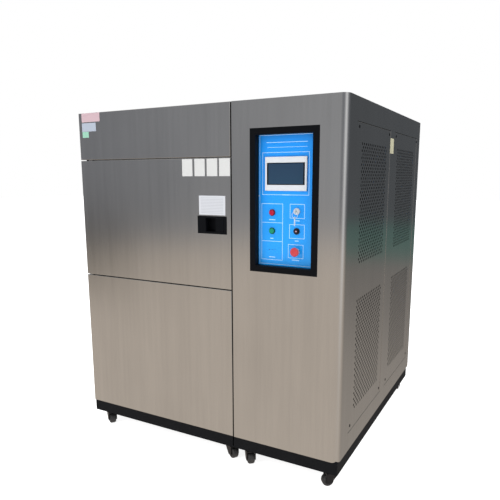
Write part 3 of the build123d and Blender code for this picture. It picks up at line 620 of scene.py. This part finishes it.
def perforated_panel(replaced):
    """A folded side panel with two fields of round holes on a diagonal grid."""
    low, high = (Vector(corner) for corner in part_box(replaced))
    middle = (low.y + high.y) / 2
    face_x = high.x - PANEL_SET_BACK * MM
    deselect()
    bpy.ops.mesh.primitive_plane_add(size=1, rotation=(0, math.pi / 2, 0))
    piece = bpy.context.object
    piece.location = (face_x, middle, (low.z + high.z) / 2)
    piece.scale = (high.z - low.z, high.y - low.y, 1)
    bpy.ops.object.transform_apply(location=True, rotation=True, scale=True)
    with editing(piece):
        punch_fields(middle - FIELD_COLUMNS / 2 * CELL * MM)
        fold_back(low, high, face_x)
    apply_modifier(piece, "SOLIDIFY", thickness=PANEL_THICKNESS * MM, offset=-1)
    settle(piece, f"{replaced}_perforated", OWNER[replaced], "stainless")
    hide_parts(replaced)


# Small fasteners
SIDE_SCREW_ROWS = {"top": 1616, "bottom": 250}
SIDE_SCREWS = (  # panel, and the distance behind the front face
    ("front_side_panel", 160),
    ("front_side_panel", 668),
    ("rear_side_panel", 810),
    ("rear_side_panel", 1328),
)
SIDE_HEAD, FASCIA_HEAD, HEAD_HEIGHT = 7.0, 2.2, 1.0
RECESS_SHARE, RECESS_DEPTH = 0.6, 0.6
FASCIA_SCREWS_Z = 1322


def screw(name, place, direction, slot, body, head):
    """A low round head with a round recess, seated on a face and pointing outwards."""
    deselect()
    bpy.ops.mesh.primitive_cylinder_add(
        vertices=24, radius=head * MM, depth=HEAD_HEIGHT * MM, location=(0, 0, HEAD_HEIGHT / 2 * MM),
    )
    piece = bpy.context.object
    bpy.ops.object.transform_apply(location=True, rotation=False, scale=False)
    with editing(piece):
        pick("FACE", lambda face: face.normal.z > 0.9)
        bpy.ops.mesh.inset(thickness=head * RECESS_SHARE * MM)
        bpy.ops.transform.translate(value=(0, 0, -RECESS_DEPTH * MM))
    round_off(piece, 0.25, 2)
    piece.rotation_euler = Vector(direction).to_track_quat("Z", "Y").to_euler()
    piece.location = [c * MM for c in place]
    settle(piece, name, body, slot)


def add_screws():
    """Screws at the corners of the side panels and at the edges of the fascia."""
    for i, (panel, behind) in enumerate(SIDE_SCREWS):
        for row, z in SIDE_SCREW_ROWS.items():
            place = (RIGHT_FACE - PANEL_SET_BACK, FRONT_FACE + behind, z)
            screw(f"side_screw_{row}_{i + 1}", place, (1, 0, 0), "black_plastic", OWNER[panel], SIDE_HEAD)
    for side, x in (("left", FASCIA_LOW[X] + FASCIA_HEAD), ("right", FASCIA_HIGH[X] - FASCIA_HEAD)):
        place = (x, FASCIA_LOW[Y], FASCIA_SCREWS_Z)
        screw(f"fascia_screw_{side}", place, (0, -1, 0), "white_plastic", OWNER["fascia"], FASCIA_HEAD)


# Caster wheels
WHEEL_RADIUS, WHEEL_WIDTH = 28, 34
SHOULDER_RADIUS = 9
HUB_RIM, HUB_DEPTH, HUB_STEP, HUB_RING = 4, 2.5, 1, 4


def round_wheel():
    """One wheel round Z with round shoulders and a hub that stands in a ring groove."""
    deselect()
    bpy.ops.mesh.primitive_cylinder_add(vertices=48, radius=WHEEL_RADIUS * MM, depth=WHEEL_WIDTH * MM)
    wheel = bpy.context.object
    with editing(wheel):
        pick("EDGE", lambda edge: edge.calc_face_angle(0) > math.radians(60))
        bpy.ops.mesh.bevel(offset=SHOULDER_RADIUS * MM, segments=5, affect="EDGES")
        pick("FACE", lambda face: abs(face.normal.z) > 0.99)
        bpy.ops.mesh.inset(thickness=HUB_RIM * MM)
        bpy.ops.mesh.extrude_region_shrink_fatten(TRANSFORM_OT_shrink_fatten={"value": -HUB_DEPTH * MM})
        bpy.ops.mesh.inset(thickness=HUB_STEP * MM)
        bpy.ops.mesh.inset(thickness=HUB_RING * MM)
        bpy.ops.mesh.extrude_region_shrink_fatten(TRANSFORM_OT_shrink_fatten={"value": HUB_DEPTH * MM})
    smooth(wheel)
    return wheel


def caster_wheels():
    """Puts a round wheel on each caster's axle, in place of the plain one."""
    model = round_wheel()
    for joint in BEHAVIOUR["joints"]:
        if not joint["name"].startswith("roll_"):
            continue
        place = joint["name"].removeprefix("roll_")
        wheel = model.copy()
        wheel.data = model.data.copy()
        bpy.context.collection.objects.link(wheel)
        wheel.rotation_euler = Vector(joint["axis"]).to_track_quat("Z", "Y").to_euler()
        wheel.location = joint["pos_m"]
        settle(wheel, f"round_wheel_{place}", joint["child"], "black_rubber")
        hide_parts(f"caster_wheel_{place}")
    bpy.data.objects.remove(model, do_unlink=True)


# Bare cards and labels on the front: left, right, bottom and top edge, paper and body
CARD_THICKNESS = 0.4
CARDS = {
    "card_1": ((-76, -17, 1410, 1490), "card", "door"),
    "card_2": ((-5, 53, 1410, 1490), "card", "door"),
    "card_3": ((64, 122, 1410, 1490), "card", "door"),
    "card_4": ((132, 190, 1410, 1490), "card", "door"),
    "form_card": ((17, 163, 1230, 1320), "form", "door"),
    "corner_card_1": ((-718, -591, 1691, 1736), "rose", "machine"),
    "corner_card_2": ((-718, -620, 1643, 1686), "pale_blue", "machine"),
    "corner_card_3": ((-717, -673, 1612, 1642), "mint", "machine"),
}
PAPERS = {
    "card": paper("card_paper", (0.56, 0.56, 0.55)),
    "form": paper("form_paper", (0.54, 0.55, 0.58), (28, 152, 1240, 1310, 7)),
    "rose": paper("rose_film", (0.5, 0.36, 0.39)),
    "pale_blue": paper("pale_blue_film", (0.36, 0.4, 0.47)),
    "mint": paper("mint_film", (0.26, 0.5, 0.38)),
}


def bare_cards():
    """Bare cards and labels where the machine carries them."""
    for name, ((left, right, bottom, top), kind, body) in CARDS.items():
        deselect()
        corners = (left, FRONT_FACE - CARD_THICKNESS, bottom), (right, FRONT_FACE, top)
        centre = [(a + b) / 2 * MM for a, b in zip(*corners)]
        bpy.ops.mesh.primitive_cube_add(size=1, location=centre)
        card = bpy.context.object
        card.scale = [(b - a) * MM for a, b in zip(*corners)]
        bpy.ops.object.transform_apply(location=False, rotation=False, scale=True)
        round_off(card, 0.15, 1)
        settle(card, name, body, "white_plastic", PAPERS[kind])


# Stage, in metres
CAMERA_PLACE = (1.4325, -2.788, 1.4054)
CAMERA_TURN = (79.75, 0.15, 28.70)
LENS, SHIFT_Y = 37.64, 0.0432
LIGHTS = (  # name, place, size and watts
    ("key_light", (-2.5, -4.5, 4.0), 3.0, 110),
    ("side_light", (4.5, -2.0, 3.2), 2.5, 70),
    ("top_light", (0.0, 0.0, 5.0), 4.0, 90),
)
LIGHT_AIM = (0, 0, 0.8)


def photo_camera():
    """The camera at the photograph's place."""
    data = bpy.data.cameras.new("photo_camera")
    data.sensor_width = 36
    data.lens = LENS
    data.shift_y = SHIFT_Y
    camera = bpy.data.objects.new("photo_camera", data)
    camera.location = CAMERA_PLACE
    camera.rotation_euler = [math.radians(angle) for angle in CAMERA_TURN]
    bpy.context.collection.objects.link(camera)
    bpy.context.scene.camera = camera


def pale_floor():
    """A wide floor that nearly melts into the white behind it."""
    deselect()
    bpy.ops.mesh.primitive_plane_add(size=60, location=(0, 0, 0))
    floor = bpy.context.object
    floor.name = "floor"
    glow = {"Emission_Color": (1, 1, 1, 1), "Emission_Strength": 0.85}
    floor.data.materials.append(Finish("pale_floor", (0.9, 0.9, 0.9), Roughness=0.9, **glow).material)
    floor.visible_glossy = False


def soft_lights():
    """Soft lights that no reflection shows."""
    for name, place, size, power in LIGHTS:
        light = bpy.data.lights.new(name, "AREA")
        light.energy = power
        light.size = size
        lamp = bpy.data.objects.new(name, light)
        lamp.location = place
        lamp.rotation_euler = (Vector(LIGHT_AIM) - Vector(place)).to_track_quat("-Z", "Y").to_euler()
        lamp.visible_glossy = False
        bpy.context.collection.objects.link(lamp)


ROOM = {
    "wall": (0.20, 0.21, 0.235),
    "front_wall": (0.40, 0.41, 0.43),
    "side_wall": (0.085, 0.092, 0.10),
    "ceiling": (0.8, 0.8, 0.8),
    "near_floor": (0.64, 0.57, 0.50),
    "far_floor": (0.19, 0.175, 0.165),
    "side_floor": (0.20, 0.19, 0.18),
    "shadow": (0.045, 0.04, 0.032),
    "low_band": (0.09, 0.17, 0.15),
    "window": (0.9, 0.92, 0.95),
    "white": (1.0, 1.0, 1.0),
}
SIDE_WAY, FRONT_WAY = (0.25, 1, 0), (-0.2, -1, 0.05)
SHADOW_WAY, WINDOW_WAY = (-0.74, -0.67, -0.125), (1, -0.35, 0.12)


def room_light():
    """White to the camera, and a grey room over a beige floor to everything else."""
    world = bpy.data.worlds.new("room")
    bpy.context.scene.world = world
    world.use_nodes = True
    tree = world.node_tree
    tree.nodes.clear()
    direction = node(tree, "ShaderNodeTexCoord", {}, {}, "Generated")
    height = node(tree, "ShaderNodeSeparateXYZ", {}, {0: direction}, Z)

    def lobe(way, sharpness):
        """1 towards a direction, falling off round it."""
        vectors = {0: direction, 1: Vector(way).normalized()}
        facing = node(tree, "ShaderNodeVectorMath", {"operation": "DOT_PRODUCT"}, vectors, "Value")
        return facing.larger(0.0) ** sharpness

    def rise(low, high):
        """0 below one height, 1 above another, smooth between."""
        limits = {"Value": height, "From Min": low, "From Max": high}
        return node(tree, "ShaderNodeMapRange", {"interpolation_type": "SMOOTHSTEP"}, limits)

    def over(room, factor, colour):
        """Lays one colour of the room over what is there."""
        return blend(tree, factor, room, ROOM[colour])

    at_side = lobe(SIDE_WAY, 2.0)
    walls = over(ROOM["wall"], lobe(FRONT_WAY, 8.0), "front_wall")
    walls = over(walls, at_side, "side_wall")
    walls = over(walls, rise(0.2, 0.7), "ceiling")
    ground = over(ROOM["near_floor"], rise(-0.38, -0.12) * at_side, "far_floor")
    ground = over(ground, at_side * 0.8, "side_floor")
    room = blend(tree, rise(-0.15, -0.09), ground, walls)
    room = over(room, lobe(SHADOW_WAY, 260.0) * 0.95, "shadow")
    low_band = at_side * rise(-0.17, -0.13) * (1.0 - rise(-0.10, -0.07))
    room = over(room, low_band * 0.8, "low_band")
    room = over(room, lobe(WINDOW_WAY, 14.0), "window")
    room = over(room, node(tree, "ShaderNodeLightPath", {}, {}, "Is Camera Ray"), "white")
    background = node(tree, "ShaderNodeBackground", {}, {"Color": room, "Strength": 1.0})
    output = tree.nodes.new("ShaderNodeOutputWorld")
    tree.links.new(background.socket, output.inputs["Surface"])


bpy.context.scene.view_settings.view_transform = "Standard"
photo_camera()
pale_floor()
soft_lights()
room_light()
dress_nodes()
bend_front_sheets()
for side_panel in SIDE_PANELS:
    perforated_panel(side_panel)
add_screws()
caster_wheels()
bare_cards()
